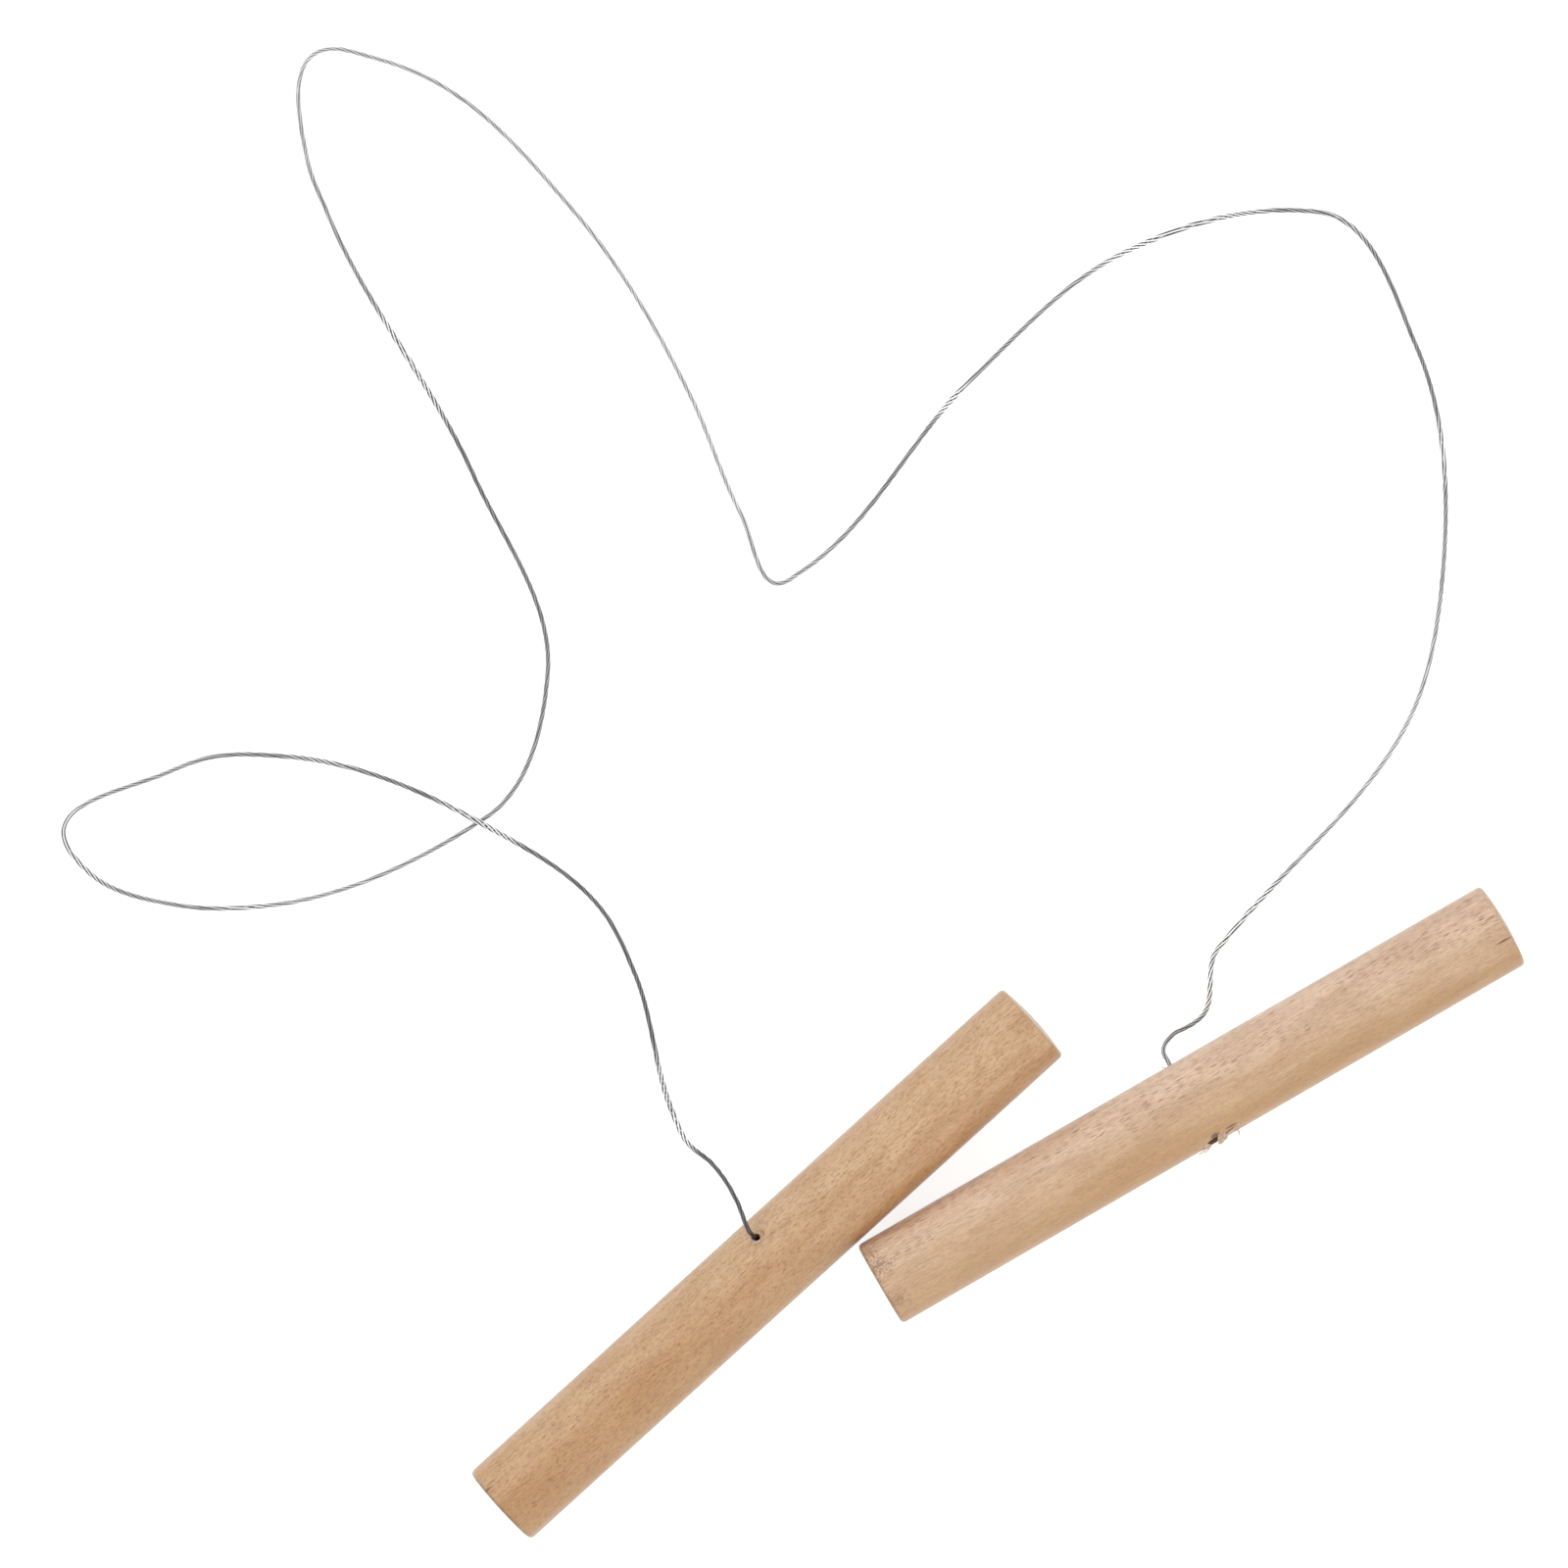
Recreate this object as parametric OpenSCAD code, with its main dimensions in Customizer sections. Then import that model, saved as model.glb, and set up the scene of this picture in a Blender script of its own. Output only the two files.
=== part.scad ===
// Potter's clay cutter: two dowel handles joined by one free length of twisted steel wire.
// It lies on a table, as it does on a workbench between cuts. Lengths are in millimetres.
// The origin is on the table, under the middle of the box round both handles.
// Each end of the wire goes through a handle and is stopped by a knot in a drilled pocket.

/* [Handles] */
// Length of each handle, a 3 inch cut of dowel
handle_l = 76.2; // [60:0.2:100]
// Diameter of each handle, nominally 3/8 inch
handle_d = 9.5; // [8:0.1:14]
// Radius that the sawn rims are eased to
rim_r = 0.5; // [0.2:0.1:1.2]
// How far the end of each handle that was sanded hardest bulges, at its middle
sanded_crown = 0.3; // [0.1:0.05:1]

/* [Lay on the table] */
// Direction of the left handle, in degrees from +X
left_angle = 42.3; // [38:0.1:50]
// Direction of the right handle, in degrees from +X
right_angle = 30; // [20:0.5:34]
// How far past the left handle's middle the right handle's rim comes to it
touch_at = 8.2; // [0:0.2:20]
// Gap left between that rim and the left handle's side
touch_gap = 0.25; // [0.1:0.05:1]

/* [Wire holes] */
// Play all round the wire in its hole
wire_play = 0.3; // [0.2:0.05:0.5]
// Play all round the knot in its pocket, and over it
knot_play = 0.15; // [0.1:0.05:0.4]
// Depth of the knot pocket, from the side of the handle that the wire does not leave
pocket_depth = 4.2; // [3.4:0.1:5]
// Point angle of the drill that cut the pocket
drill_point = 118; // [90:1:140]
// How far from its middle the left handle was drilled
left_off = 0.9; // [-3:0.1:3]
// How far from its middle the right handle was drilled
right_off = 0; // [-3:0.1:3]
// Rise of the left handle's hole towards the wire, in degrees above level
left_hole_angle = 52; // [46:1:56]
// Rise of the right handle's hole towards the wire, in degrees above level
right_hole_angle = -14; // [-24:1:-10]

/* [Wire] */
// Diameter over the wire's twisted strands
wire_d = 0.5; // [0.4:0.05:0.7]
// Straight run of the wire outside each hole
straight_run = 1.2; // [0.6:0.1:2]
// Gap between the two runs where the wire crosses over itself
cross_gap = 0.25; // [0.15:0.05:1]
// Cut tail left past each knot
tail_l = 1; // [0.5:0.1:1.5]

/* [Hidden] */
$fn = 96;
wood = [0.82, 0.67, 0.51];
wood_warm = [0.80, 0.64, 0.47];
steel = [0.62, 0.62, 0.61];

// The wire rests on the table at this height, and hops over itself at the other
handle_r = handle_d / 2;
lie = wire_d / 2;
hop = lie + wire_d + cross_gap;

// Overhand knot, in wire diameters: the radius of its wrap, the distance of its two
// inner runs from the middle, the height of its wrap either side of the middle, the
// turn of the wrap in degrees for each degree round it, and the stretch that leads out
wrap_ratio = 1.65;
core_ratio = 0.64;
rise_ratio = 1.35;
turn_ratio = 1.5;
knot_out = 90;
knot_rings = 64;
half_knot = (rise_ratio + 0.5) * wire_d;
knot_end = (rise_ratio * knot_out * PI / 180 + 1) * wire_d;
knot_d = 2 * (wrap_ratio + 0.5) * wire_d;

// Stepped hole: a free hole for the wire, and a wider pocket that the knot seats in
hole_d = wire_d + 2 * wire_play;
pocket_d = knot_d + 2 * knot_play;
point_h = (pocket_d - hole_d) / 2 / tan(drill_point / 2);
pocket_floor = pocket_depth - handle_r;
knot_at = pocket_floor - knot_play - half_knot;
past = 1;

// Where the handles lie. The rim of the right handle's near end comes to the left
// handle's side, and both are then moved so that the box round them is centred.
left_start = [0, 0];
rim_corner = left_start + touch_at * level(left_angle) - (handle_r + touch_gap) * side(left_angle);
right_start = rim_corner + handle_l / 2 * level(right_angle) - handle_r * side(right_angle);
low_corner = lowest(left_start - reach(left_angle), right_start - reach(right_angle));
high_corner = -lowest(-left_start - reach(left_angle), -right_start - reach(right_angle));
box_middle = (low_corner + high_corner) / 2;
left_mid = lifted(left_start - box_middle);
right_mid = lifted(right_start - box_middle);

// The wire's way from handle to handle, as it lies on the table: out of the left handle
// and down, over the crossing, round the two loops, and up to the right handle
route = [
  [-27.6, 1.2, 9],
  [-30.2, 5, 4.6],
  [-33.2, 7.6, 1.4],
  [-34.5, 10.4, lie],
  [-38.5, 25.1, lie],
  [-41.2, 30.7, lie],
  [-54.8, 41, hop],
  [-75.2, 48, lie],
  [-83.9, 47.8, lie],
  [-88, 46.3, lie],
  [-98.8, 39.1, lie],
  [-96.3, 35.8, lie],
  [-87, 32.3, lie],
  [-77.7, 32.2, lie],
  [-54.8, 41.2, lie],
  [-53.9, 41.8, lie],
  [-47.7, 56.8, lie],
  [-55.6, 77.9, lie],
  [-71, 105.5, lie],
  [-73.1, 111, lie],
  [-71.7, 122.7, lie],
  [-65.9, 121.9, lie],
  [-62.1, 120.6, lie],
  [-44.9, 105.7, lie],
  [-32.6, 86.2, lie],
  [-27.3, 73.8, lie],
  [-22.8, 66.4, lie],
  [-21, 67.5, lie],
  [-2.9, 87.9, lie],
  [13.2, 101.3, lie],
  [31.9, 105.8, lie],
  [34.2, 105.6, lie],
  [44.2, 91.5, lie],
  [46.9, 66, lie],
  [45.1, 56.1, lie],
  [24.5, 29.2, lie],
  [23.1, 27.5, lie],
  [21.4, 20.4, lie],
  [20.5, 19.7, lie],
  [18.3, 18.5, 1.4],
];
wire_sides = 8;
long_stretch = 3.4;
wire_ends = [
  in_hole(left_mid, left_angle, left_hole_angle, left_off, knot_at + knot_end),
  in_hole(left_mid, left_angle, left_hole_angle, left_off, handle_r + straight_run),
  in_hole(right_mid, right_angle, right_hole_angle, right_off, handle_r + straight_run),
  in_hole(right_mid, right_angle, right_hole_angle, right_off, knot_at + knot_end),
];
wire_points = concat([wire_ends[0], wire_ends[1]], route, [wire_ends[2], wire_ends[3]]);

// Directions on the table, along a turned handle and square to it
function level(turn) = [cos(turn), sin(turn)];
function side(turn) = [-sin(turn), cos(turn)];
function lifted(p) = [p[0], p[1], handle_r];
function lowest(p, q) = [min(p[0], q[0]), min(p[1], q[1])];

// Half of the box that a handle fills on the table
function reach(turn) = [
  handle_l / 2 * abs(cos(turn)) + handle_r * abs(sin(turn)),
  handle_l / 2 * abs(sin(turn)) + handle_r * abs(cos(turn)),
];

// A point in a handle's hole, at a distance from the handle's axis towards the wire
function in_hole(mid, turn, rise, off, at) =
  mid + off * [cos(turn), sin(turn), 0]
  + at * [-sin(turn) * cos(rise), cos(turn) * cos(rise), sin(rise)];

// A smooth curve through points. It leaves and ends straight, and at every other point
// it heads between its neighbours, more towards the nearer one.
function unit(v) = v / norm(v);
function heading(p, i) =
  i <= 1 ? unit(p[1] - p[0])
  : i >= len(p) - 2 ? unit(p[len(p) - 1] - p[len(p) - 2])
  : let (a = p[i] - p[i - 1], b = p[i + 1] - p[i]) unit(unit(a) * norm(b) + unit(b) * norm(a));
function between(p, i, t) =
  let (l = norm(p[i + 1] - p[i]))
  p[i] * (2 * t * t * t - 3 * t * t + 1) + heading(p, i) * l * (t * t * t - 2 * t * t + t)
  + p[i + 1] * (3 * t * t - 2 * t * t * t) + heading(p, i + 1) * l * (t * t * t - t * t);
function on_table(q) = [q[0], q[1], max(q[2], lie)];
function parts_of(p, i) = i > 0 && i < len(p) - 2 && norm(p[i + 1] - p[i]) > long_stretch ? 2 : 1;
function curve_through(p) = [
  for (i = [0:len(p) - 2])
    for (k = [0:parts_of(p, i) - 1])
      on_table(between(p, i, k / parts_of(p, i))),
  p[len(p) - 1],
];

// An overhand knot round the Z axis, from its cut tail at the bottom to its lead at the top
function eased(x) = x * x * (3 - 2 * x);
function knot_point(u) =
  let (
    a = abs(u),
    body = min(a, 180),
    out = max(a - 180, 0) / knot_out,
    from_axis = (core_ratio + (wrap_ratio - core_ratio) * (1 + cos(body)) / 2) * (1 - eased(out)),
    round = sign(u) * turn_ratio * (body + knot_out * out * (1 - out / 2)),
    up = sign(u) * (rise_ratio * knot_out * out * PI / 180 - rise_ratio * sin(body))
  )
  wire_d * [from_axis * cos(round), from_axis * sin(round), up];
knot_path = concat(
  [[0, 0, -knot_end - tail_l]],
  [for (i = [0:knot_rings]) knot_point((2 * i / knot_rings - 1) * (180 + knot_out))],
  [[0, 0, knot_end]]
);

// A round tube along a path: rings square to it, each carried on from the one before
function path_way(p, i) = unit(unit(p[min(i + 1, len(p) - 1)] - p[min(i, len(p) - 2)])
  + unit(p[max(i, 1)] - p[max(i - 1, 0)]));
function square_to(v, way) = unit(v - (v * way) * way);
function across(p) = [
  for (
    i = 0, v = square_to([0.3, 0.2, 0.9], path_way(p, 0));
    i < len(p);
    i = i + 1, v = i < len(p) ? square_to(v, path_way(p, i)) : v
  )
    v
];
module tube(p, d, sides) {
  v = across(p);
  n = len(p);
  points = [
    for (i = [0:n - 1])
      for (k = [0:sides - 1])
        let (w = cross(path_way(p, i), v[i]), turn = 360 * k / sides)
        p[i] + d / 2 * (cos(turn) * v[i] + sin(turn) * w)
  ];
  faces = concat(
    [[for (k = [sides - 1:-1:0]) k]],
    [for (i = [0:n - 2]) for (k = [0:sides - 1])
      [i * sides + k, i * sides + (k + 1) % sides, (i + 1) * sides + (k + 1) % sides]],
    [for (i = [0:n - 2]) for (k = [0:sides - 1])
      [i * sides + k, (i + 1) * sides + (k + 1) % sides, (i + 1) * sides + k]],
    [[for (k = [0:sides - 1]) (n - 1) * sides + k]]
  );
  polyhedron(points, [for (f = faces) [for (k = [len(f) - 1:-1:0]) f[k]]]);
}

// A sawn dowel along X, with its rims eased by sandpaper. An end is flat, or it bulges
// in a shallow crown where it was sanded hard.
function rim_and_end(crown) =
  let (flat_r = handle_r - rim_r, rings = crown > 0 ? 6 : 1)
  concat(
    [for (a = [0:22.5:90]) [flat_r + rim_r * cos(a), handle_l / 2 - crown - rim_r + rim_r * sin(a)]],
    [for (k = [rings - 1:-1:0]) [flat_r * k / rings, handle_l / 2 - crown * pow(k / rings, 2)]]
  );
module dowel(low_crown, high_crown) {
  low_end = rim_and_end(low_crown);
  low_outline = [for (i = [len(low_end) - 1:-1:0]) [low_end[i][0], -low_end[i][1]]];
  rotate([0, 90, 0])
    rotate_extrude()
      polygon(concat(low_outline, rim_and_end(high_crown)));
}

// The drilling for the wire and its knot, along Z, with the wire's side up
module drilling() {
  translate([0, 0, -handle_r - past])
    cylinder(d = hole_d, h = handle_d + 2 * past);
  translate([0, 0, -handle_r - past])
    cylinder(d = pocket_d, h = pocket_depth + past);
  translate([0, 0, pocket_floor])
    cylinder(d1 = pocket_d, d2 = hole_d, h = point_h);
}

// Carries what is modelled on a hole's own axis to its place in a handle on the table
module at_hole(mid, turn, rise, off) {
  translate(mid)
    rotate([0, 0, turn])
      translate([off, 0, 0])
        rotate([rise - 90, 0, 0])
          children();
}

module handle(mid, turn, rise, off, low_crown, high_crown) {
  difference() {
    translate(mid)
      rotate([0, 0, turn])
        dowel(low_crown, high_crown);
    at_hole(mid, turn, rise, off)
      drilling();
  }
}

module handle_left() {
  color(wood_warm)
    handle(left_mid, left_angle, left_hole_angle, left_off, 0, sanded_crown);
}

module handle_right() {
  color(wood)
    handle(right_mid, right_angle, right_hole_angle, right_off, 0, sanded_crown);
}

module cutting_wire() {
  color(steel)
    tube(curve_through(wire_points), wire_d, wire_sides);
}

module overhand_knot() {
  translate([0, 0, knot_at])
    tube(knot_path, wire_d, wire_sides);
}

module wire_knot_left() {
  color(steel)
    at_hole(left_mid, left_angle, left_hole_angle, left_off)
      overhand_knot();
}

module wire_knot_right() {
  color(steel)
    at_hole(right_mid, right_angle, right_hole_angle, right_off)
      overhand_knot();
}

handle_left();
handle_right();
cutting_wire();
wire_knot_left();
wire_knot_right();
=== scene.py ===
import math

import bmesh
import bpy
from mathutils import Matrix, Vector


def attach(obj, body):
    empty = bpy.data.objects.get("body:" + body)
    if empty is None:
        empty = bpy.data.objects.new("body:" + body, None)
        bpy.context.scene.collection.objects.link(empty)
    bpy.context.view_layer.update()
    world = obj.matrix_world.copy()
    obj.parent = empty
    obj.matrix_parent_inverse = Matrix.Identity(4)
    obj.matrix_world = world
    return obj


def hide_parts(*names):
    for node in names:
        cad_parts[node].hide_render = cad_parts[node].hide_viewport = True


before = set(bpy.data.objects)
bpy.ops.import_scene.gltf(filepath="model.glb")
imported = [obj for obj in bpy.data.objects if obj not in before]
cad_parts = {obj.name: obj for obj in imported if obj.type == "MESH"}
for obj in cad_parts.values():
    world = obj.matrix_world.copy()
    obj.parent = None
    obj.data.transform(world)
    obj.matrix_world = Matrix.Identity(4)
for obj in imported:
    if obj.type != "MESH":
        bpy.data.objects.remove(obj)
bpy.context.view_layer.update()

# The view: a camera straight above the table, with a long lens, as in a catalogue shot of
# a tool laid flat. The whole wire and both handles fill the square picture.
view_middle = (-0.02269, 0.04511)
view_width = 0.16563
view_width_height = 0.0025
camera_height = 1.2
film_width = 36.0

lens = bpy.data.cameras.new("camera")
lens.sensor_width = film_width
lens.lens = film_width * (camera_height - view_width_height) / view_width
lens.clip_start = 0.01
camera = bpy.data.objects.new("camera", lens)
camera.location = (view_middle[0], view_middle[1], camera_height)
bpy.context.scene.collection.objects.link(camera)
bpy.context.scene.camera = camera
bpy.context.scene.view_settings.view_transform = "Standard"

# Cutting wire: five fine strands of plain steel wire, twisted together into one wire of
# half a millimetre. It runs from inside one handle to inside the other in one length, and
# it is springy, so that it keeps the bends and kinks of its last use as it lies.
MM = 0.001
wire_d = 0.5 * MM
wire_lie = wire_d / 2
hop_gap = 0.25 * MM
wire_hop = wire_lie + wire_d + hop_gap
handle_l = 76.2 * MM
handle_r = 4.75 * MM

# Where each handle lies: its middle, its direction on the table, how far from its middle
# it is drilled, and the rise of its hole towards the wire
LEFT = {"mid": Vector((-24.397210, -5.382761, 4.75)) * MM, "turn": 42.3, "off": 0.9 * MM, "rise": 52.0}
RIGHT = {"mid": Vector((20.403396, 11.374165, 4.75)) * MM, "turn": 30.0, "off": 0.0, "rise": -14.0}

# Where the wire lies between the handles, in millimetres, on the table where no height is given
wire_route = [
    (-27.6, 1.2, 9), (-30.2, 5, 4.6), (-33.2, 7.6, 1.4), (-34.5, 10.4), (-38.5, 25.1), (-41.2, 30.7),
    (-54.8, 41, wire_hop / MM), (-75.2, 48), (-83.9, 47.8), (-88, 46.3), (-98.8, 39.1), (-96.3, 35.8),
    (-87, 32.3), (-77.7, 32.2), (-54.8, 41.2), (-53.9, 41.8), (-47.7, 56.8), (-55.6, 77.9), (-71, 105.5),
    (-73.1, 111), (-71.7, 122.7), (-65.9, 121.9), (-62.1, 120.6), (-44.9, 105.7), (-32.6, 86.2),
    (-27.3, 73.8), (-22.8, 66.4), (-21, 67.5), (-2.9, 87.9), (13.2, 101.3), (31.9, 105.8), (34.2, 105.6),
    (44.2, 91.5), (46.9, 66), (45.1, 56.1), (24.5, 29.2), (23.1, 27.5), (21.4, 20.4), (20.5, 19.7),
    (18.3, 18.5, 1.4),
]
straight_run = 1.2 * MM
route_step = 0.4 * MM

# The wire ends in a knot, which seats in a pocket of each handle. The knot's radii and its
# rise are in wire diameters, its turns in degrees for each degree of its loop, and its
# way out of the loop in degrees.
knot_play = 0.15 * MM
pocket_depth = 4.2 * MM
knot_wrap, knot_core, knot_rise, knot_turn, knot_out = 1.65, 0.64, 1.35, 1.5, 90.0
knot_tail = 1.0 * MM
knot_at = pocket_depth - handle_r - knot_play - (knot_rise + 0.5) * wire_d
knot_end = (knot_rise * math.radians(knot_out) + 1) * wire_d


def along_handle(handle):
    """The direction of a handle's length."""
    turn = math.radians(handle["turn"])
    return Vector((math.cos(turn), math.sin(turn), 0.0))


def hole_way(handle):
    """The direction of a handle's hole, towards the wire."""
    turn, rise = math.radians(handle["turn"]), math.radians(handle["rise"])
    return Vector((-math.sin(turn) * math.cos(rise), math.cos(turn) * math.cos(rise), math.sin(rise)))


def in_hole(handle, at):
    """A place on the hole's middle line, so far from the handle's own towards the wire."""
    return handle["mid"] + handle["off"] * along_handle(handle) + at * hole_way(handle)


def heading(points, i):
    """The direction in which the wire passes a point. Its first and last runs are straight."""
    if i <= 1:
        return (points[1] - points[0]).normalized()
    if i >= len(points) - 2:
        return (points[-1] - points[-2]).normalized()
    before, after = points[i] - points[i - 1], points[i + 1] - points[i]
    return (before.normalized() * after.length + after.normalized() * before.length).normalized()


def smooth_way(points, step):
    """A smooth curve through the points, as the wire lies, never below the table."""
    out = []
    for i in range(len(points) - 1):
        a, b = points[i], points[i + 1]
        gap = (b - a).length
        start, end = heading(points, i) * gap, heading(points, i + 1) * gap
        parts = max(2, math.ceil(gap / step))
        for k in range(parts):
            t = k / parts
            q = (
                a * (2 * t**3 - 3 * t**2 + 1) + start * (t**3 - 2 * t**2 + t)
                + b * (3 * t**2 - 2 * t**3) + end * (t**3 - t**2)
            )
            q.z = max(q.z, wire_lie)
            out.append(q)
    return out + [points[-1]]


wire_points = (
    [in_hole(LEFT, knot_at + knot_end), in_hole(LEFT, handle_r + straight_run)]
    + [Vector((p[0], p[1], p[2] if len(p) > 2 else wire_lie / MM)) * MM for p in wire_route]
    + [in_hole(RIGHT, handle_r + straight_run), in_hole(RIGHT, knot_at + knot_end)]
)
wire_way = smooth_way(wire_points, route_step)
wire_length = sum((b - a).length for a, b in zip(wire_way, wire_way[1:]))


def put(tree, kind, inputs=None, **settings):
    """Adds a node to a tree, with its settings, and with values or links at its inputs."""
    node = tree.nodes.new(kind)
    for name, value in settings.items():
        setattr(node, name, value)
    for name, value in (inputs or {}).items():
        if isinstance(value, bpy.types.NodeSocket):
            tree.links.new(value, node.inputs[name])
        else:
            node.inputs[name].default_value = value
    return node


def sums(tree, operation, a, b=0.0, c=0.0, clamp=False):
    """One step of arithmetic on values in a node tree."""
    return put(tree, "ShaderNodeMath", {0: a, 1: b, 2: c}, operation=operation, use_clamp=clamp).outputs[0]


def vectors(tree, operation, a, b=None, **inputs):
    """One step of arithmetic on vectors in a node tree."""
    given = {0: a, **({} if b is None else {1: b}), **inputs}
    node = put(tree, "ShaderNodeVectorMath", given, operation=operation)
    return node.outputs["Value" if operation in ("DOT_PRODUCT", "LENGTH") else "Vector"]


def twisted_strands():
    """Node tree that lays strands round a curve, one turn to each lay of its length."""
    tree = bpy.data.node_groups.new("twisted_strands", "GeometryNodeTree")
    face = tree.interface
    face.new_socket("Path", in_out="INPUT", socket_type="NodeSocketGeometry")
    for name, kind in (
        ("Diameter", "Float"), ("Strands", "Int"), ("Lay", "Float"), ("Ring Spacing", "Float"),
        ("Sides", "Int"), ("Wander", "Float"), ("Seed", "Float"), ("Steel", "Material"),
    ):
        face.new_socket(name, in_out="INPUT", socket_type="NodeSocket" + kind)
    face.new_socket("Strands", in_out="OUTPUT", socket_type="NodeSocketGeometry")
    given = tree.nodes.new("NodeGroupInput").outputs

    rings = put(tree, "GeometryNodeResampleCurve", {"Curve": given["Path"], "Length": given["Ring Spacing"]},
                mode="LENGTH")
    copies = put(tree, "GeometryNodeDuplicateElements",
                 {"Geometry": rings.outputs[0], "Amount": given["Strands"]}, domain="SPLINE")
    run = put(tree, "GeometryNodeSplineParameter").outputs["Length"]
    openness = put(tree, "GeometryNodeInputRadius").outputs[0]

    # One strand's radius, and how far its middle stays from the wire's middle
    share = sums(tree, "DIVIDE", math.pi, given["Strands"])
    spread = sums(tree, "DIVIDE", 1.0, sums(tree, "SINE", share))
    wire_r = sums(tree, "MULTIPLY", given["Diameter"], 0.5)
    strand_r = sums(tree, "DIVIDE", wire_r, sums(tree, "ADD", spread, 1.0))
    apart = sums(tree, "MULTIPLY", sums(tree, "MULTIPLY", strand_r, spread), openness)

    # The twist wanders a little along the wire, as a hand-twisted one does
    place = sums(tree, "MULTIPLY_ADD", run, 90.0, given["Seed"])
    wander = put(tree, "ShaderNodeTexNoise", {"W": place, "Scale": 1.0, "Detail": 1.0},
                 noise_dimensions="1D").outputs[0]
    turns = sums(tree, "ADD", sums(tree, "DIVIDE", run, given["Lay"]),
                 sums(tree, "MULTIPLY", sums(tree, "SUBTRACT", wander, 0.5), given["Wander"]))
    turns = sums(tree, "ADD", turns, sums(tree, "DIVIDE", copies.outputs["Duplicate Index"], given["Strands"]))
    angle = sums(tree, "MULTIPLY", turns, 2 * math.pi)
    normal = put(tree, "GeometryNodeInputNormal").outputs[0]
    tangent = put(tree, "GeometryNodeInputTangent").outputs[0]
    aside = vectors(tree, "CROSS_PRODUCT", tangent, normal)
    across = vectors(tree, "SCALE", normal, Scale=sums(tree, "COSINE", angle))
    beside = vectors(tree, "SCALE", aside, Scale=sums(tree, "SINE", angle))
    out_way = vectors(tree, "ADD", across, beside)
    offset = vectors(tree, "SCALE", out_way, Scale=apart)

    marked = copies.outputs["Geometry"]
    for name, kind, value in (
        ("along", "FLOAT", run), ("strand", "FLOAT", copies.outputs["Duplicate Index"]),
        ("opened", "FLOAT", sums(tree, "SUBTRACT", openness, 1.0)), ("outward", "FLOAT_VECTOR", out_way),
    ):
        marked = put(tree, "GeometryNodeStoreNamedAttribute",
                     {"Geometry": marked, "Name": name, "Value": value},
                     data_type=kind, domain="POINT").outputs[0]
    twisted = put(tree, "GeometryNodeSetPosition", {"Geometry": marked, "Offset": offset})

    # Opened strands spread out on the table, and don't reach below it
    x, y, z = put(tree, "ShaderNodeSeparateXYZ", {0: put(tree, "GeometryNodeInputPosition").outputs[0]}).outputs
    laid = put(tree, "ShaderNodeCombineXYZ", {0: x, 1: y, 2: sums(tree, "MAXIMUM", z, strand_r)}).outputs[0]
    twisted = put(tree, "GeometryNodeSetPosition", {"Geometry": twisted.outputs[0], "Position": laid})
    even = put(tree, "GeometryNodeSetCurveRadius", {"Curve": twisted.outputs[0], "Radius": 1.0})
    ring = put(tree, "GeometryNodeCurvePrimitiveCircle", {"Resolution": given["Sides"], "Radius": strand_r})
    solid = put(tree, "GeometryNodeCurveToMesh",
                {"Curve": even.outputs[0], "Profile Curve": ring.outputs[0], "Fill Caps": True})

    # How far each point of a strand faces out of the wire, from 1 on its crest to -1. The steel is painted by
    # it: a painted highlight on crests, painted shade in grooves
    outward = put(tree, "GeometryNodeInputNamedAttribute", {"Name": "outward"}, data_type="FLOAT_VECTOR")
    facing = put(tree, "GeometryNodeInputNormal").outputs[0]
    crest = vectors(tree, "DOT_PRODUCT", outward.outputs[0], facing)
    marked = put(tree, "GeometryNodeStoreNamedAttribute",
                 {"Geometry": solid.outputs[0], "Name": "crest", "Value": crest},
                 data_type="FLOAT", domain="POINT")
    smooth = put(tree, "GeometryNodeSetShadeSmooth", {0: marked.outputs[0]})
    real = put(tree, "GeometryNodeRealizeInstances", {"Geometry": smooth.outputs[0]})
    finish = put(tree, "GeometryNodeSetMaterial", {"Geometry": real.outputs[0], "Material": given["Steel"]})
    put(tree, "NodeGroupOutput", {"Strands": finish.outputs[0]})
    return tree


strand_tree = twisted_strands()


def twist(name, points, openness, values):
    """A plain mesh of the strands along the points. Openness is 1 where they lie tight."""
    line = bpy.data.curves.new(name + "_line", "CURVE")
    line.dimensions = "3D"
    spline = line.splines.new("POLY")
    spline.points.add(len(points) - 1)
    for point, place, open_by in zip(spline.points, points, openness):
        point.co = (*place, 1.0)
        point.radius = open_by
    path = bpy.data.objects.new(name + "_line", line)
    bpy.context.scene.collection.objects.link(path)
    modifier = path.modifiers.new("strands", "NODES")
    modifier.node_group = strand_tree
    sockets = {s.name: s.identifier for s in strand_tree.interface.items_tree if s.in_out == "INPUT"}
    for key, value in values.items():
        modifier[sockets[key]] = value
    bpy.context.view_layer.update()
    evaluated = path.evaluated_get(bpy.context.evaluated_depsgraph_get())
    mesh = bpy.data.meshes.new_from_object(evaluated)
    bpy.data.objects.remove(path)
    bpy.data.curves.remove(line)
    mesh.name = name
    piece = bpy.data.objects.new(name, mesh)
    bpy.context.scene.collection.objects.link(piece)
    return piece


def new_material(name):
    """An empty material and its node tree."""
    material = bpy.data.materials.new(name)
    material.use_nodes = True
    material.node_tree.nodes.clear()
    return material, material.node_tree


def finish_surface(tree, inputs):
    """Ends a material in one Principled surface."""
    surface = put(tree, "ShaderNodeBsdfPrincipled", inputs)
    put(tree, "ShaderNodeOutputMaterial", {"Surface": surface.outputs[0]})


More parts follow.
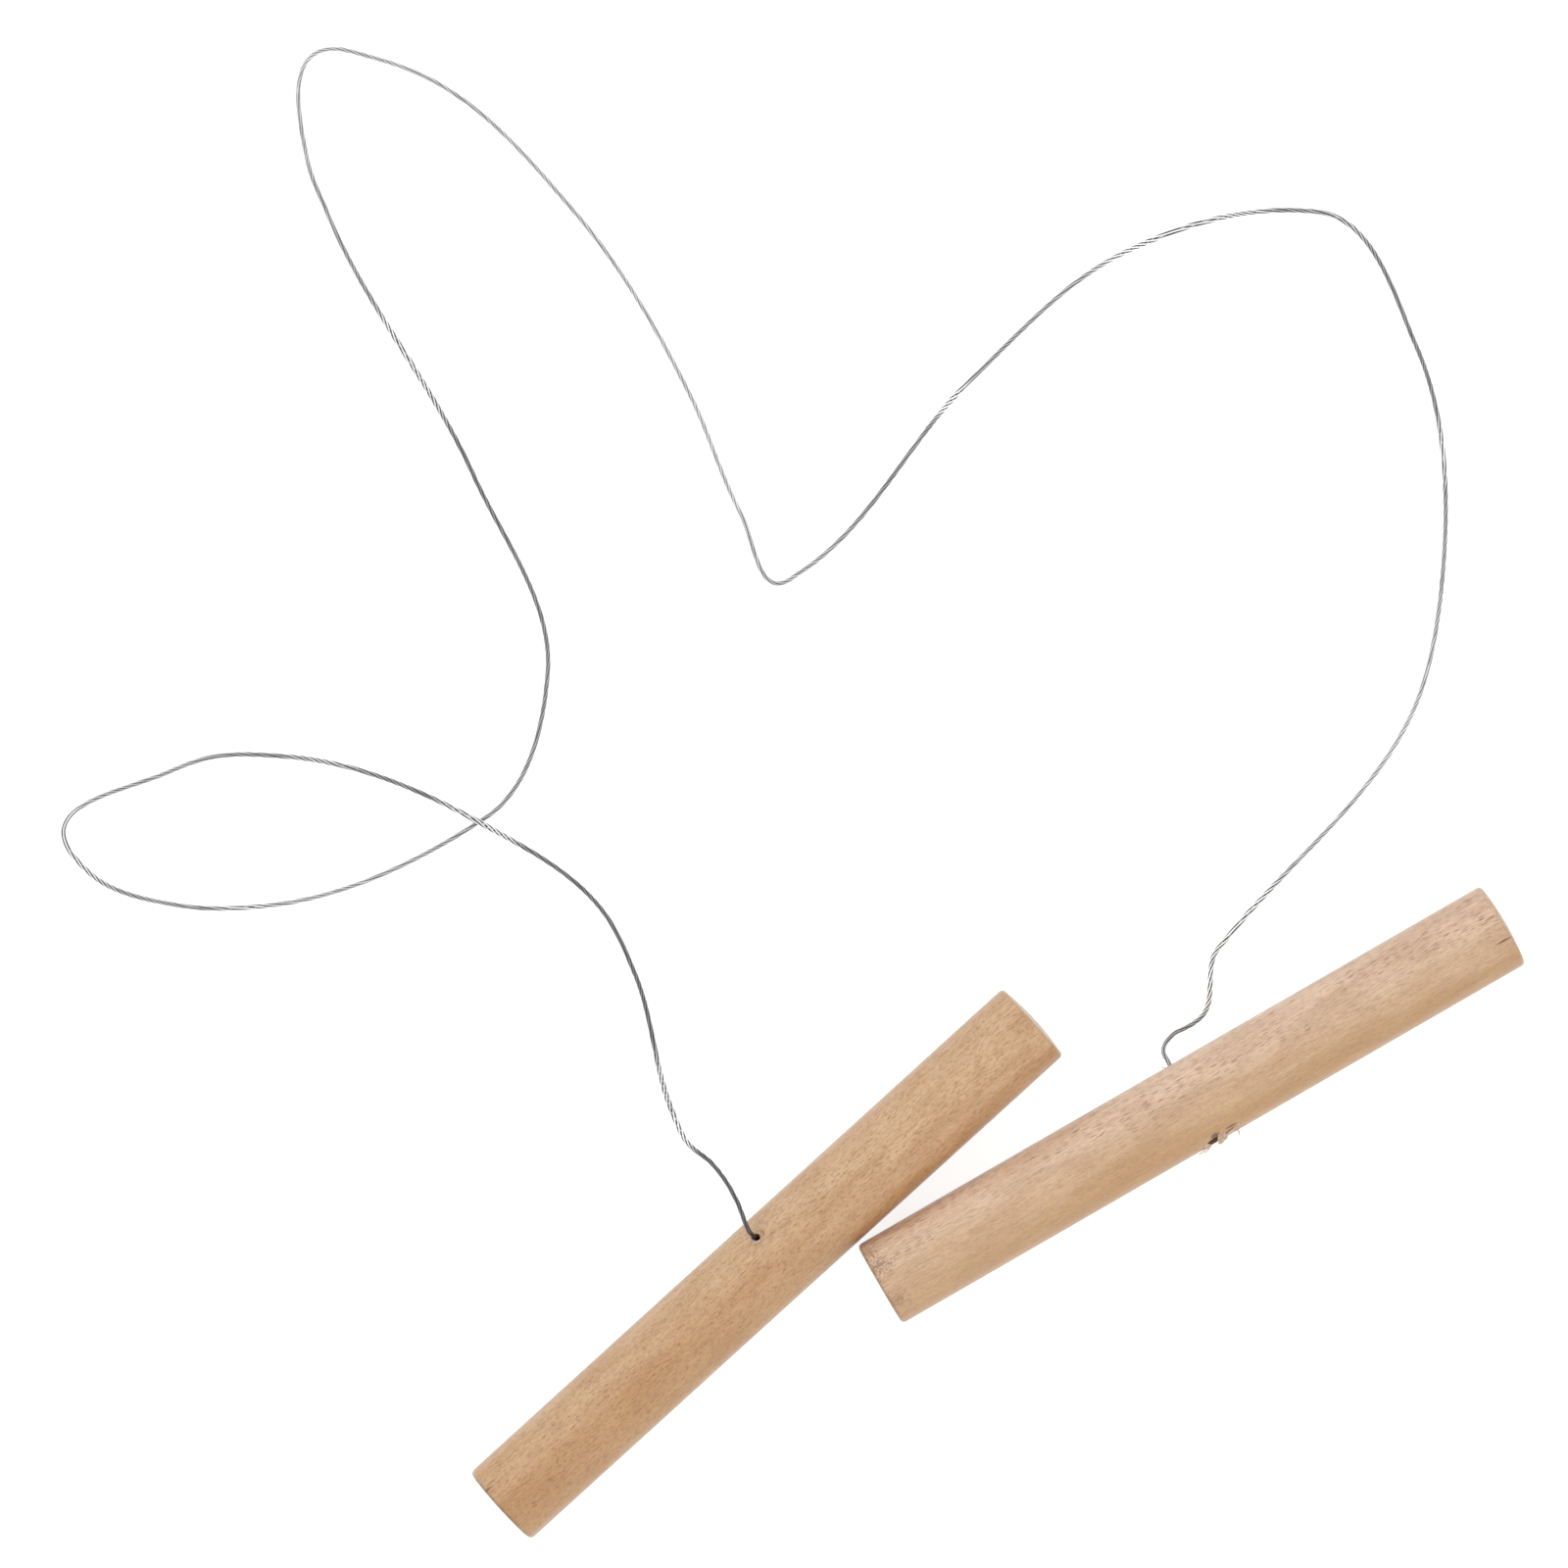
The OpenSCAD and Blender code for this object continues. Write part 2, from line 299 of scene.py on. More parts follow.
def ramp(tree, value, stops):
    """A colour ramp from (place, colour) stops. A plain number stands for a grey."""
    node = put(tree, "ShaderNodeValToRGB", {"Fac": value})
    marks = node.color_ramp.elements
    while len(marks) < len(stops):
        marks.new(0.5)
    for mark, (place, colour) in zip(marks, stops):
        mark.position = place
        mark.color = (*colour, 1.0) if isinstance(colour, tuple) else (colour, colour, colour, 1.0)
    return node.outputs["Color"]


def blend(tree, share, a, b, **settings):
    """Mixes colour b into colour a, by a share from 0 to 1."""
    node = put(tree, "ShaderNodeMix", data_type="RGBA", **settings)
    for socket, value in zip((node.inputs[0], node.inputs[6], node.inputs[7]), (share, a, b)):
        if isinstance(value, bpy.types.NodeSocket):
            tree.links.new(value, socket)
        else:
            socket.default_value = value
    return node.outputs[2]


def between(tree, value, low, high, start=0.0, end=1.0, smooth=True):
    """Where a value lies from low to high, as start to end, held there past them."""
    return put(tree, "ShaderNodeMapRange", {0: value, 1: low, 2: high, 3: start, 4: end},
               interpolation_type="SMOOTHSTEP" if smooth else "LINEAR").outputs[0]


def steel_material():
    """Bare steel. Its brightness along the wire is painted reflection, and it is painted
    lighter where the twist has opened, as a painted highlight. Painted shade lies between
    the strands, and a painted highlight on their crests, most of all where the twist has opened."""
    material, tree = new_material("steel_wire")
    along, strand, crest, opened = (
        put(tree, "ShaderNodeAttribute", attribute_name=name).outputs["Fac"]
        for name in ("along", "strand", "crest", "opened"))
    # Painted reflection: the steel is painted brighter and darker along the wire's length
    painted_reflection_tone = ramp(tree, sums(tree, "DIVIDE", along, wire_length), wire_tone)
    drawn = put(tree, "ShaderNodeCombineXYZ", {"X": sums(tree, "MULTIPLY", along, 420.0), "Y": strand})
    patch = put(tree, "ShaderNodeTexNoise", {"Vector": drawn.outputs[0], "Scale": 1.0, "Detail": 3.0})
    patch = patch.outputs[0]
    # Painted highlight: the steel is painted lighter where the twist has opened
    painted_reflection_tone = blend(tree, between(tree, opened, 0.05, 0.35, 0.0, 0.8), painted_reflection_tone, (0.6, 0.6, 0.6, 1.0))
    # Painted highlight on the strands' crests and painted shade in the grooves between them, more where the
    # twist has opened
    crest_highlight_groove_shade = between(tree, crest, 0.25, 0.98, -0.62, 1.1)
    crest_highlight_groove_shade = sums(tree, "MULTIPLY_ADD", crest_highlight_groove_shade, between(tree, opened, 0.0, 0.3, 0.3, 1.0), 1.0)
    tone = blend(tree, 1.0, painted_reflection_tone, ramp(tree, patch, [(0.32, 0.66), (0.68, 1.25)]), blend_type="MULTIPLY")
    tone = vectors(tree, "SCALE", tone, Scale=crest_highlight_groove_shade)
    rough = sums(tree, "MULTIPLY_ADD", patch, 0.25, 0.2)
    where = put(tree, "ShaderNodeTexCoord").outputs["Object"]
    scuff = put(tree, "ShaderNodeTexNoise", {"Vector": where, "Scale": 9000.0, "Detail": 2.0}).outputs[0]
    bump = put(tree, "ShaderNodeBump", {"Height": scuff, "Strength": 0.15, "Distance": 0.00002}).outputs[0]
    finish_surface(tree, {"Base Color": tone, "Metallic": 1.0, "Roughness": rough, "Normal": bump})
    return material


# How bright the steel is painted, by the share of the wire's length from its left end: painted reflection
wire_tone = [
    (0.0, 0.12), (0.035, 0.15), (0.1, 0.22), (0.17, 0.3), (0.215, 0.46), (0.24, 0.36), (0.28, 0.45),
    (0.33, 0.29), (0.4, 0.24), (0.49, 0.5), (0.62, 0.55), (0.67, 0.25), (0.74, 0.36), (0.82, 0.27),
    (0.9, 0.46), (1.0, 0.32),
]
steel = steel_material()
strand_values = {
    "Diameter": wire_d, "Strands": 5, "Lay": 6.5 * MM, "Ring Spacing": 0.3 * MM, "Sides": 8,
    "Wander": 1.4, "Seed": 4.0, "Steel": steel,
}

# Stretches where the twist has opened: distance from the left end, half length, how far
open_stretches = [
    (25.5, 5.5, 0.5), (63.5, 5, 0.45), (81, 6, 0.2), (114, 6, 0.25), (134, 3, 0.3), (215, 7, 0.4),
    (357.5, 2.3, 0.5), (388, 9, 0.5), (406, 4, 0.22), (433, 4, 0.3), (489, 5, 0.4), (498, 3, 0.3),
]
runs, openness = 0.0, []
for before, here in zip([wire_way[0]] + wire_way, wire_way):
    runs += (here - before).length / MM
    spread_by = sum(much * math.exp(-(((runs - at) / half) ** 2)) for at, half, much in open_stretches)
    openness.append(1.0 + spread_by)
cutting_wire = twist("cutting_wire_strands", wire_way, openness, strand_values)
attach(cutting_wire, "wire")
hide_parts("cutting_wire")


# Knots: each end of the wire is tied in an overhand knot round itself, pulled back into a
# pocket drilled in the far side of its handle, and cut off short.
half_loop = 180.0
knot_rings = 128


def knot_point(u):
    """A point of the knot's middle line, from -u to u degrees through its loop and out."""
    body = min(abs(u), half_loop)
    out = max(abs(u) - half_loop, 0.0) / knot_out
    eased = out * out * (3 - 2 * out)
    from_axis = (knot_core + (knot_wrap - knot_core) * (1 + math.cos(math.radians(body))) / 2) * (1 - eased)
    side = math.copysign(1.0, u) if u else 0.0
    turn = math.radians(side * knot_turn * (body + knot_out * out * (1 - out / 2)))
    rise = side * (knot_rise * math.radians(knot_out) * out - knot_rise * math.sin(math.radians(body)))
    return Vector((from_axis * math.cos(turn), from_axis * math.sin(turn), rise)) * wire_d


def tie_knot(name, handle, node):
    """The knot's own Z axis is the hole's, and its X axis lies along the handle."""
    x_way, z_way = along_handle(handle), hole_way(handle)
    y_way = z_way.cross(x_way)
    places = [Vector((0, 0, -knot_end - knot_tail))]
    places += [knot_point((2 * i / knot_rings - 1) * (half_loop + knot_out)) for i in range(knot_rings + 1)]
    places += [Vector((0, 0, knot_end))]
    middle = in_hole(handle, knot_at)
    line = [middle + x_way * p.x + y_way * p.y + z_way * p.z for p in places]
    knot = twist(name, line, [1.0] * len(line), {**strand_values, "Ring Spacing": 0.12 * MM, "Wander": 0.0})
    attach(knot, "wire")
    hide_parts(node)
    return knot


left_knot = tie_knot("wire_knot_left_strands", LEFT, "wire_knot_left")
right_knot = tie_knot("wire_knot_right_strands", RIGHT, "wire_knot_right")


# Handles: two cuts of the same thin hardwood dowel, sanded and left bare. Their sawn rims
# are painted darker, as shade. Short pores show as dark dashes along the grain, mostly on the
# side that was nearer to the bark. That side, facing up and towards the key lamp, is also
# painted lighter as light, and the other side darker as painted shade.
def bare_wood():
    """Node group for sanded dowel. It reads places in millimetres: X along the dowel from
    its middle, Y and Z across it. It gives a colour, a roughness and a height."""
    tree = bpy.data.node_groups.new("bare_wood", "ShaderNodeTree")
    face = tree.interface
    for name, kind in (
        ("Place", "Vector"), ("Bark Side Lit", "Color"), ("Heart Side Shaded", "Color"), ("Grain Colour", "Color"),
        ("Pore Colour", "Color"), ("Dashes", "Float"), ("Specks", "Float"), ("Mottle", "Float"),
        ("Half Length", "Float"), ("Radius", "Float"), ("Lit Drift", "Float"), ("Seed", "Float"),
    ):
        face.new_socket(name, in_out="INPUT", socket_type="NodeSocket" + kind)
    for name, kind in (("Colour", "Color"), ("Roughness", "Float"), ("Height", "Float")):
        face.new_socket(name, in_out="OUTPUT", socket_type="NodeSocket" + kind)
    given = tree.nodes.new("NodeGroupInput").outputs
    x, y, z = put(tree, "ShaderNodeSeparateXYZ", {0: given["Place"]}).outputs

    def stretched(kx, ky, moved=0.0):
        """The place, scaled along and across the dowel, and moved by the seed."""
        return put(tree, "ShaderNodeCombineXYZ", {
            "X": sums(tree, "MULTIPLY_ADD", x, kx, sums(tree, "ADD", given["Seed"], moved)),
            "Y": sums(tree, "MULTIPLY", y, ky), "Z": sums(tree, "MULTIPLY", z, ky)}).outputs[0]

    def noise(kx, ky, detail=2.0, roughness=0.5, distortion=0.0, moved=0.0):
        """Noise with so many waves to a millimetre along and across the dowel."""
        return put(tree, "ShaderNodeTexNoise", {
            "Vector": stretched(kx, ky, moved), "Scale": 1.0, "Detail": detail, "Roughness": roughness,
            "Distortion": distortion}).outputs[0]

    def flecks(kx, ky, full, none, kept, moved):
        """Small separate flecks in cells. Only some cells hold one, some fainter."""
        cells = put(tree, "ShaderNodeTexVoronoi", {"Vector": stretched(kx, ky, moved), "Scale": 1.0})
        chosen = put(tree, "ShaderNodeSeparateColor", {0: cells.outputs["Color"]}).outputs[0]
        return sums(tree, "MULTIPLY", between(tree, cells.outputs["Distance"], full, none, 1.0, 0.0),
                    between(tree, chosen, 1.0 - kept, 1.0, smooth=False))

    # The side nearer to the bark is the pinker one, and it wavers along the dowel. The same blend
    # is painted light: the side facing up and towards the key lamp is painted lighter, the other
    # side darker as painted shade, and Lit Drift paints the dowel lighter towards one end.
    leaning = sums(tree, "MULTIPLY_ADD", y, 0.85, sums(tree, "MULTIPLY", z, 0.3))
    leaning = sums(tree, "DIVIDE", leaning, given["Radius"])
    leaning = sums(tree, "MULTIPLY_ADD", sums(tree, "SUBTRACT", noise(0.03, 0.25, 2.0), 0.5), 1.6, leaning)
    bark_and_lit_side = between(tree, sums(tree, "MULTIPLY_ADD", x, given["Lit Drift"], leaning), -0.75, 0.95)
    wood = blend(tree, bark_and_lit_side, given["Heart Side Shaded"], given["Bark Side Lit"])

    # Year rings round the tree's heart, streaks and fibres, all along the dowel
    heart_aside, heart_below, rings_to_mm = 9.0, 14.0, 0.55
    heart = sums(tree, "SQRT", sums(tree, "ADD", sums(tree, "POWER", sums(tree, "ADD", y, heart_aside), 2.0),
                                    sums(tree, "POWER", sums(tree, "ADD", z, heart_below), 2.0)))
    shell = sums(tree, "MULTIPLY_ADD", heart, rings_to_mm, sums(tree, "MULTIPLY", noise(0.035, 0.16), 3.0))
    ring = sums(tree, "MULTIPLY_ADD", sums(tree, "SINE", sums(tree, "MULTIPLY", shell, 2 * math.pi)), 0.5, 0.5)
    streak = noise(0.14, 2.2, 3.0, 0.6)
    fibre = noise(0.55, 8.0, 2.0, 0.65)
    grain = sums(tree, "ADD", sums(tree, "MULTIPLY", ring, 0.18), sums(tree, "MULTIPLY", streak, 0.75))
    grain = between(tree, grain, 0.3, 0.75, 0.0, 0.3)
    wood = blend(tree, grain, wood, given["Grain Colour"])
    cloud = between(tree, noise(0.14, 0.42, 2.0, 0.5, 0.0, 23.0), 0.4, 0.66, 0.0, 0.32)
    wood = blend(tree, cloud, wood, given["Grain Colour"])
    blotch = between(tree, noise(1.7, 6.0, 3.0, 0.72, 0.4, 7.0), 0.47, 0.65)
    wood = blend(tree, sums(tree, "MULTIPLY", blotch, given["Mottle"]), wood, given["Pore Colour"])
    lines = between(tree, fibre, 0.3, 0.7, 0.91, 1.09, False)
    lines = put(tree, "ShaderNodeCombineColor", {0: lines, 1: lines, 2: lines}).outputs[0]
    wood = blend(tree, 1.0, wood, lines, blend_type="MULTIPLY", clamp_result=True)

    # Pores: dashes where the saw ran with them, and specks where they come out to the side
    crowd = between(tree, noise(0.08, 0.4, 2.0, 0.5, 0.0, 3.0), 0.32, 0.56, 0.35, 1.0)
    dash = sums(tree, "MAXIMUM", flecks(0.75, 8.8, 0.18, 0.44, 0.95, 0.0),
                flecks(0.5, 7.4, 0.13, 0.34, 0.5, 11.0))
    dash = sums(tree, "MULTIPLY", sums(tree, "MULTIPLY", dash, crowd),
                sums(tree, "MULTIPLY_ADD", sums(tree, "POWER", bark_and_lit_side, 2.0), 0.88, 0.12))
    dash = sums(tree, "MULTIPLY", dash, given["Dashes"])
    speck = sums(tree, "MAXIMUM", flecks(2.0, 4.6, 0.16, 0.38, 0.8, 5.0),
                 flecks(1.0, 1.9, 0.08, 0.2, 0.6, 17.0))
    speck = sums(tree, "MULTIPLY", speck, given["Specks"])
    speck = sums(tree, "MULTIPLY", speck, sums(tree, "MULTIPLY_ADD", blotch, 0.7, 0.3))
    pore = sums(tree, "MAXIMUM", dash, speck, clamp=True)
    wood = blend(tree, pore, wood, given["Pore Colour"])

    # Sawn ends, painted greyer and darker as shade on their eased rims, with dots of open pores, and painted
    # shade inside the drilled holes
    past_end = sums(tree, "SUBTRACT", sums(tree, "ABSOLUTE", x), given["Half Length"])
    past_end = sums(tree, "MULTIPLY_ADD", sums(tree, "SUBTRACT", noise(0.0, 1.6), 0.5), 0.5, past_end)
    end = between(tree, past_end, -0.42, -0.02)
    dots = put(tree, "ShaderNodeTexVoronoi", {"Vector": stretched(0.0, 5.0), "Scale": 1.0}).outputs["Distance"]
    dots = between(tree, dots, 0.1, 0.3, 0.62, 1.0)
    end_shade = put(tree, "ShaderNodeCombineColor", {
        0: sums(tree, "MULTIPLY", dots, 0.52), 1: sums(tree, "MULTIPLY", dots, 0.53),
        2: sums(tree, "MULTIPLY", dots, 0.55)}).outputs[0]
    wood = blend(tree, end, wood, end_shade, blend_type="MULTIPLY")
    from_axis = sums(tree, "SQRT", sums(tree, "ADD", sums(tree, "POWER", y, 2.0), sums(tree, "POWER", z, 2.0)))
    depth = between(tree, sums(tree, "SUBTRACT", given["Radius"], from_axis), 0.05, 0.4)
    hole_shade = sums(tree, "MULTIPLY", depth, between(tree, sums(tree, "ABSOLUTE", x), 4.0, 6.0, 1.0, 0.0))
    wood = blend(tree, hole_shade, wood, (0.4, 0.21, 0.1, 1.0))

    rough = sums(tree, "MULTIPLY_ADD", streak, 0.2, 0.5)
    height = sums(tree, "SUBTRACT", sums(tree, "MULTIPLY", fibre, 0.5), pore)
    put(tree, "NodeGroupOutput", {"Colour": wood, "Roughness": rough, "Height": height})
    return tree


wood_group = bare_wood()


def dark_mark():
    """Node group for one dark mark: 1 at a place, and 0 past its size from there. The more
    ragged it is, the more it falls apart in specks."""
    tree = bpy.data.node_groups.new("dark_mark", "ShaderNodeTree")
    for name, kind in (("Place", "Vector"), ("At", "Vector"), ("Size", "Vector"), ("Ragged", "Float")):
        tree.interface.new_socket(name, in_out="INPUT", socket_type="NodeSocket" + kind)
    tree.interface.new_socket("Mark", in_out="OUTPUT", socket_type="NodeSocketFloat")
    given = tree.nodes.new("NodeGroupInput").outputs
    away = vectors(tree, "SUBTRACT", given["Place"], given["At"])
    rough = put(tree, "ShaderNodeTexNoise", {"Vector": given["Place"], "Scale": 5.5, "Detail": 3.0}).outputs[0]
    far = vectors(tree, "LENGTH", vectors(tree, "DIVIDE", away, given["Size"]))
    far = sums(tree, "MULTIPLY_ADD", sums(tree, "SUBTRACT", rough, 0.5), given["Ragged"], far)
    put(tree, "NodeGroupOutput", {"Mark": between(tree, far, 0.35, 1.0, 1.0, 0.0)})
    return tree


mark_group = dark_mark()


def handle_wood(name, handle, values, marks):
    """Wood for one handle, with its grain along the dowel. Each mark has a place and a
    size in the dowel's own millimetres, a raggedness, a colour and a strength."""
    material, tree = new_material(name)
    where = put(tree, "ShaderNodeTexCoord").outputs["Object"]
    local = put(tree, "ShaderNodeMapping", {
        "Vector": where, "Location": handle["mid"], "Rotation": (0.0, 0.0, math.radians(handle["turn"])),
        "Scale": (MM, MM, MM)}, vector_type="TEXTURE").outputs[0]
    wood = put(tree, "ShaderNodeGroup", node_tree=wood_group)
    tree.links.new(local, wood.inputs["Place"])
    for key, value in {**values, "Half Length": handle_l / 2 / MM, "Radius": handle_r / MM}.items():
        wood.inputs[key].default_value = value
    colour = wood.outputs["Colour"]
    for at, size, ragged, shade, strength in marks:
        mark = put(tree, "ShaderNodeGroup", node_tree=mark_group)
        tree.links.new(local, mark.inputs["Place"])
        mark.inputs["At"].default_value = at
        mark.inputs["Size"].default_value = size
        mark.inputs["Ragged"].default_value = ragged
        colour = blend(tree, sums(tree, "MULTIPLY", mark.outputs[0], strength), colour, shade)
    bump = put(tree, "ShaderNodeBump", {"Height": wood.outputs["Height"], "Strength": 0.5, "Distance": 0.00008})
    finish_surface(tree, {
        "Base Color": colour, "Roughness": wood.outputs["Roughness"], "Normal": bump.outputs[0],
        "Specular IOR Level": 0.3, "Coat Weight": 0.9, "Coat Roughness": 0.45, "Coat IOR": 1.5,
        "Sheen Weight": 0.8, "Sheen Roughness": 0.25})
    return material


def srgb(r, g, b):
    """A colour written as it shows on a screen, from 0 to 255."""
    shares = (v / 255 for v in (r, g, b))
    return tuple(v / 12.92 if v <= 0.04045 else ((v + 0.055) / 1.055) ** 2.4 for v in shares) + (1.0,)


# This brown paints real splits and specks, and also a painted contact shade on the left handle
split_and_shade_brown, soot = srgb(128, 82, 50), srgb(96, 64, 46)
hole_split_and_shade_brown, chipped_tan = srgb(92, 50, 10), srgb(176, 128, 84)
left_wood = handle_wood("handle_wood_left", LEFT, {
    "Bark Side Lit": srgb(229, 190, 149), "Heart Side Shaded": srgb(205, 161, 112), "Grain Colour": srgb(181, 129, 76),
    "Pore Colour": srgb(144, 84, 34), "Dashes": 0.45, "Specks": 0.8, "Mottle": 0.46, "Lit Drift": 0.02, "Seed": 3.0,
}, [
    ((-37.6, 2.3, 4.1), (0.7, 0.17, 1.0), 0.9, soot, 0.75),
    ((-37.0, 2.65, 3.9), (0.8, 0.13, 1.0), 0.9, split_and_shade_brown, 0.55),
    # Painted contact shade where the right handle's rim lies against the left handle
    ((8.6, -4.6, 0.8), (1.7, 1.1, 1.8), 2.0, split_and_shade_brown, 0.45),
    ((1.85, 2.9, 3.8), (0.3, 0.5, 0.5), 0.7, chipped_tan, 0.9),
])
right_wood = handle_wood("handle_wood_right", RIGHT, {
    "Bark Side Lit": srgb(245, 212, 182), "Heart Side Shaded": srgb(204, 159, 108), "Grain Colour": srgb(188, 142, 98),
    "Pore Colour": srgb(122, 62, 38), "Dashes": 1.0, "Specks": 0.2, "Mottle": 0.2, "Lit Drift": 0.0, "Seed": 31.0,
}, [
    ((36.8, -1.3, 4.5), (1.3, 0.15, 0.8), 0.7, split_and_shade_brown, 0.95),
    ((36.6, 1.45, 4.5), (0.9, 0.14, 0.8), 0.9, split_and_shade_brown, 0.5),
    ((-37.2, 2.0, 4.3), (1.3, 1.1, 1.4), 6.0, split_and_shade_brown, 0.6),
    ((-37.4, 3.6, 3.1), (0.9, 0.8, 1.2), 6.0, split_and_shade_brown, 0.5),
    ((-37.2, -2.2, 4.2), (1.1, 0.7, 1.4), 6.0, split_and_shade_brown, 0.4),
    ((2.3, -3.9, 2.75), (0.95, 0.16, 0.8), 0.7, hole_split_and_shade_brown, 0.9),
    # Painted shade of the hole, round the pocket's mouth
    ((0.35, -4.0, 2.6), (0.75, 0.5, 1.2), 0.8, hole_split_and_shade_brown, 1.0),
])
for node_name, wood in (("handle_left", left_wood), ("handle_right", right_wood)):
    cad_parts[node_name].material_slots[0].material = wood


# Torn fibres: where the drill broke out it lifted slivers of the dowel round the holes,
# and they were never sanded off. They are paler than the skin of the wood.
def sliver(places, thick):
    """Corners and faces of one tapered sliver. Each of its places is how far along the
    dowel it is, its turn from straight up in degrees, its lift and its half width."""
    steps = 5
    corners, faces, fine = [], [], []
    for i in range(len(places) - 1):
        for k in range(steps):
            t = k / steps
            fine.append(tuple(a + (b - a) * t for a, b in zip(places[i], places[i + 1])))
    fine.append(places[-1])
    middles = []
    for along, turn, lift, _ in fine:
        out = Vector((0.0, math.sin(math.radians(turn)), math.cos(math.radians(turn))))
        middles.append((Vector((along, 0.0, 0.0)) + out * (handle_r / MM + lift), out))
    for i, (middle, out) in enumerate(middles):
        way = middles[min(i + 1, len(middles) - 1)][0] - middles[max(i - 1, 0)][0]
        side = out.cross(way).normalized()
        half = fine[i][3] * (1 + 0.22 * math.sin(i * 2.4))
        top = way.cross(side).normalized() * thick / 2
        corners += [middle + side * half, middle + top, middle - side * half * 0.9, middle - top]
    last = 4 * (len(middles) - 1)
    for i in range(len(middles) - 1):
        faces += [(4 * i + k, 4 * i + (k + 1) % 4, 4 * i + 4 + (k + 1) % 4, 4 * i + 4 + k) for k in range(4)]
    faces += [(3, 2, 1, 0), (last, last + 1, last + 2, last + 3)]
    return corners, faces


def torn_fibres(name, handle, body, slivers):
    """All the slivers of one handle, as one piece."""
    corners, faces = [], []
    for places, thick in slivers:
        more, sides = sliver(places, thick)
        faces += [tuple(len(corners) + k for k in side) for side in sides]
        corners += more
    x_way = along_handle(handle)
    y_way = Vector((-x_way.y, x_way.x, 0.0))
    z_way = Vector((0.0, 0.0, 1.0))
    mesh = bpy.data.meshes.new(name)
    corners = [handle["mid"] + (x_way * c.x + y_way * c.y + z_way * c.z) * MM for c in corners]
    mesh.from_pydata(corners, [], faces)
    solid = bmesh.new()
    solid.from_mesh(mesh)
    bmesh.ops.recalc_face_normals(solid, faces=solid.faces)
    solid.to_mesh(mesh)
    solid.free()
    mesh.materials.append(torn_wood)
    piece = bpy.data.objects.new(name, mesh)
    bpy.context.scene.collection.objects.link(piece)
    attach(piece, body)


torn_wood, tree = new_material("torn_wood")
where = put(tree, "ShaderNodeTexCoord").outputs["Object"]
shreds = put(tree, "ShaderNodeTexNoise", {"Vector": where, "Scale": 3500.0, "Detail": 3.0}).outputs[0]
torn_tones = [(0.3, (182, 146, 116)), (0.52, (220, 192, 166)), (0.72, (236, 218, 202))]
raw = ramp(tree, shreds, [(at, srgb(*tone)[:3]) for at, tone in torn_tones])
rough_skin = put(tree, "ShaderNodeBump", {"Height": shreds, "Strength": 0.6, "Distance": 0.00005}).outputs[0]
finish_surface(tree, {"Base Color": raw, "Roughness": 0.8, "Normal": rough_skin})
torn_fibres("torn_fibres_left", LEFT, "left_handle", [
    ([(0.5, 45, 0.0, 0.05), (0.36, 39, 0.07, 0.2), (0.52, 32.5, 0.09, 0.22), (0.95, 30, 0.08, 0.16),
      (1.4, 31, 0.0, 0.05)], 0.12),
    ([(1.2, 46, -0.02, 0.05), (1.45, 45, 0.06, 0.13), (1.9, 47, 0.0, 0.04)], 0.1),
    ([(1.65, 41, -0.02, 0.05), (1.75, 36, 0.07, 0.1), (1.5, 30.5, 0.0, 0.04)], 0.1),
])
torn_fibres("torn_fibres_right", RIGHT, "right_handle", [
    ([(0.8, -58, -0.03, 0.12), (0.68, -68, 0.1, 0.36), (0.58, -83, 0.3, 0.4), (0.5, -98, 0.26, 0.08)], 0.24),
    ([(1.3, -60, -0.03, 0.1), (1.2, -71, 0.08, 0.32), (1.08, -84, 0.2, 0.34), (1.0, -94, 0.16, 0.06)], 0.16),
    ([(-1.0, -59, -0.03, 0.1), (-0.95, -70, 0.06, 0.36), (-0.9, -84, 0.12, 0.4), (-0.8, -96, 0.1, 0.1)], 0.18),
    ([(-1.0, -72, 0.0, 0.12), (-1.5, -81, 0.16, 0.14), (-2.1, -88, 0.22, 0.03)], 0.1),
    ([(-0.6, -78, 0.1, 0.12), (-1.0, -88, 0.26, 0.12), (-1.5, -94, 0.34, 0.02)], 0.1),
    ([(1.2, -72, 0.0, 0.16), (1.9, -67, 0.09, 0.36), (2.6, -64, 0.05, 0.26), (3.3, -61, -0.02, 0.05)], 0.14),
    ([(2.4, -68, -0.02, 0.08), (2.75, -77, 0.12, 0.09), (2.7, -86, 0.36, 0.06), (2.6, -96, 0.72, 0.02)], 0.07),
    ([(-0.5, 82, -0.03, 0.06), (-0.8, 88, 0.12, 0.06), (-0.9, 92, 0.36, 0.02)], 0.06),
])

